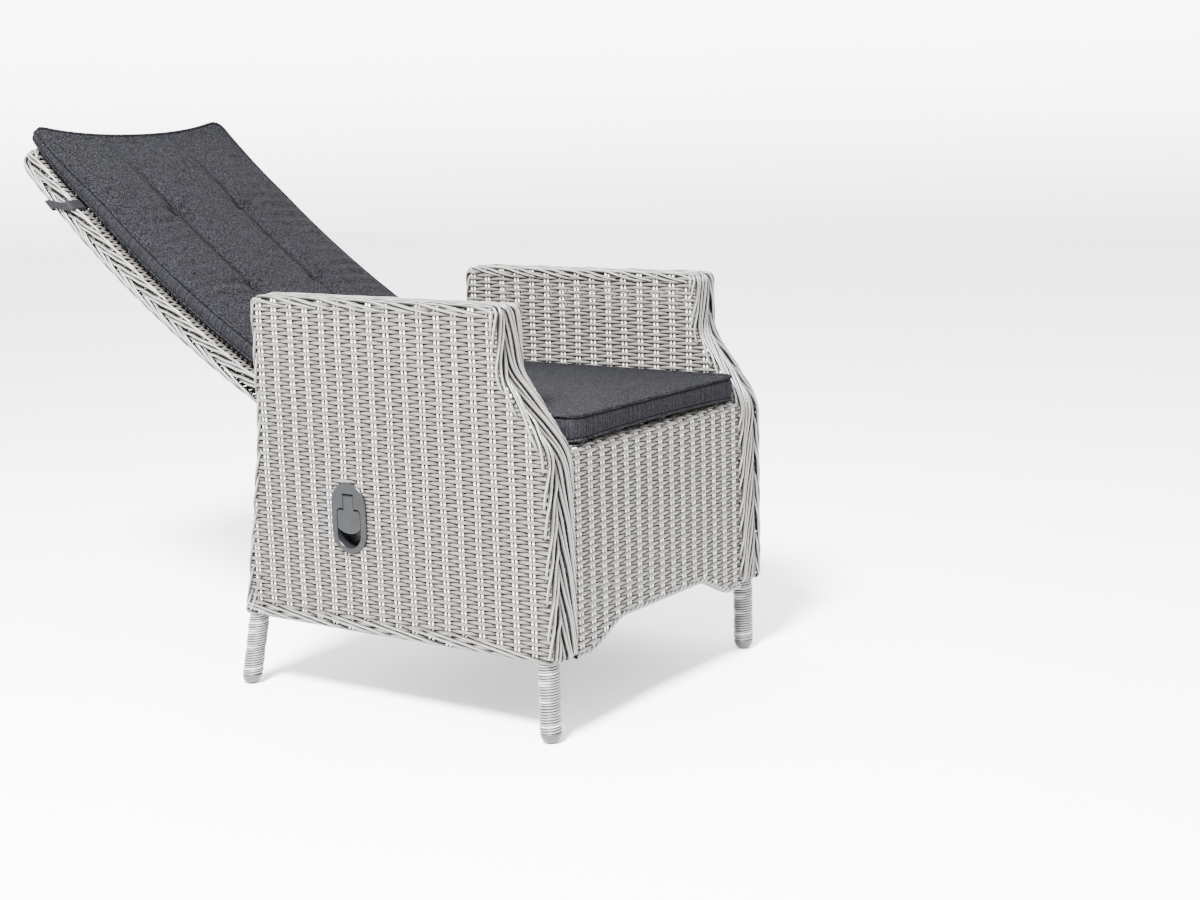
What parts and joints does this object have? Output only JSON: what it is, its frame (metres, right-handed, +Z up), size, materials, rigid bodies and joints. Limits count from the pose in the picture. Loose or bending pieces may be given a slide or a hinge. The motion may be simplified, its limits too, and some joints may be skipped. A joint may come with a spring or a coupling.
{
  "type": "reclining garden armchair",
  "caption": "Woven garden armchair with S-curved solid sides, a bowed back that reclines on a locking gas spring, a release flap in the right arm, and loose seat and back cushions.",
  "frame": {"origin": "middle of the whole chair seen from above, at floor level, with the back reclined as in the picture", "axes": "+X to the sitter's left, -Y the way the sitter faces, +Z up"},
  "size_m": [0.6218, 1.191, 0.9235],
  "materials": {
    "back_cloth": "woven outdoor cloth over fibre",
    "cable_sheath": "extruded sheath",
    "cylinder_black": "black lacquer",
    "deck_strand": "satin extruded strand",
    "fastener_steel": "zinc plated",
    "foot_plastic": "moulded, satin",
    "frame_coat": "powder coated",
    "lever_grey": "moulded, half gloss",
    "nylon": "moulded",
    "rod_chrome": "ground and plated",
    "seat_cloth": "woven outdoor cloth over foam",
    "strand": "satin extruded strand",
    "strap_elastic": "knitted elastic",
    "zinc_plate": "zinc plated"
  },
  "bodies": {
    "chair": {"apron_braid": "strand", "apron_frame": "frame_coat", "apron_weave": "strand", "arm_braid_left": "strand", "arm_braid_right": "strand", "arm_frame_left": "frame_coat", "arm_frame_right": "frame_coat", "arm_skin_inner_left": "strand", "arm_skin_inner_right": "strand", "arm_skin_outer_left": "strand", "arm_skin_outer_right": "strand", "bowden_cable": "cable_sheath", "cable_barrel": "fastener_steel", "deck_bar_front_left": "frame_coat", "deck_bar_front_right": "frame_coat", "deck_bar_rear_left": "frame_coat", "deck_bar_rear_right": "frame_coat", "flap_pin": "fastener_steel", "foot_cap_front_left": "foot_plastic", "foot_cap_front_right": "foot_plastic", "foot_cap_rear_left": "foot_plastic", "foot_cap_rear_right": "foot_plastic", "front_clevis": "zinc_plate", "leg_wrap_front_left": "strand", "leg_wrap_front_right": "strand", "leg_wrap_rear_left": "strand", "leg_wrap_rear_right": "strand", "lever_plate": "lever_grey", "pivot_bolts": "fastener_steel", "pivot_spacers": "nylon", "seat_bolts": "fastener_steel", "seat_cushion": "seat_cloth", "seat_deck": "deck_strand", "seat_front_rail": "frame_coat", "seat_middle_rail": "frame_coat", "seat_rear_rail": "frame_coat", "seat_side_rail_left": "frame_coat", "seat_side_rail_right": "frame_coat", "spring_pin_front": "fastener_steel"},
    "back": {"back_frame": "frame_coat", "back_skin_front": "strand", "back_skin_rear": "strand", "back_braid": "strand", "recline_bracket": "zinc_plate", "pivot_bushes": "nylon", "back_cushion": "back_cloth", "cushion_strap": "strap_elastic"},
    "spring_rod": {"gas_rod": "rod_chrome", "release_head": "zinc_plate", "crank_pin": "fastener_steel"},
    "spring_cylinder": {"gas_cylinder": "cylinder_black", "gas_eye": "zinc_plate", "spring_pin_rear": "fastener_steel"},
    "release_crank": {"release_crank": "zinc_plate"},
    "release_pin": {"release_pin": "fastener_steel"},
    "release_wire": {"cable_wire": "fastener_steel"},
    "flap": {"lever_flap": "lever_grey"}
  },
  "joints": [
    {"name": "back_recline", "type": "hinge", "parent": "chair", "child": "back", "pos_m": [0, -0.03755, 0.44], "axis": [1, 0, 0], "range_deg": [0, 34]},
    {"name": "spring_swing", "type": "hinge", "parent": "chair", "child": "spring_rod", "pos_m": [0, -0.32755, 0.388], "axis": [1, 0, 0], "range_deg": [0, 0.95]},
    {"name": "cylinder_slide", "type": "slide", "parent": "spring_rod", "child": "spring_cylinder", "axis": [0, 0.9944, -0.1061], "range_m": [0, 0.0495]},
    {"name": "flap_pull", "type": "hinge", "parent": "chair", "child": "flap", "pos_m": [-0.3083, -0.20855, 0.3415], "axis": [0, 1, 0], "range_deg": [0, 28], "stiffness_Nm_per_rad": 0.25, "springref_deg": -17.19},
    {"name": "crank_turn", "type": "hinge", "parent": "spring_rod", "child": "release_crank", "pos_m": [0.008, -0.37726, 0.39331], "axis": [0, 0.1061, 0.9944], "range_deg": [-8.1, 0]},
    {"name": "release_pin_press", "type": "slide", "parent": "spring_rod", "child": "release_pin", "axis": [0, 0.9944, -0.1061], "range_m": [0, 0.00115]},
    {"name": "wire_pull", "type": "slide", "parent": "chair", "child": "release_wire", "axis": [-1, 0, 0], "range_m": [0, 0.00395]}
  ],
  "couplings": [
    {"joint": "spring_swing", "follows": "back_recline", "ratio": 0.027814},
    {"joint": "cylinder_slide", "follows": "back_recline", "m_per_rad": 0.082378},
    {"joint": "crank_turn", "follows": "flap_pull", "ratio": -0.28571},
    {"joint": "release_pin_press", "follows": "flap_pull", "m_per_rad": 0.0022591},
    {"joint": "wire_pull", "follows": "flap_pull", "m_per_rad": 0.0079739}
  ]
}
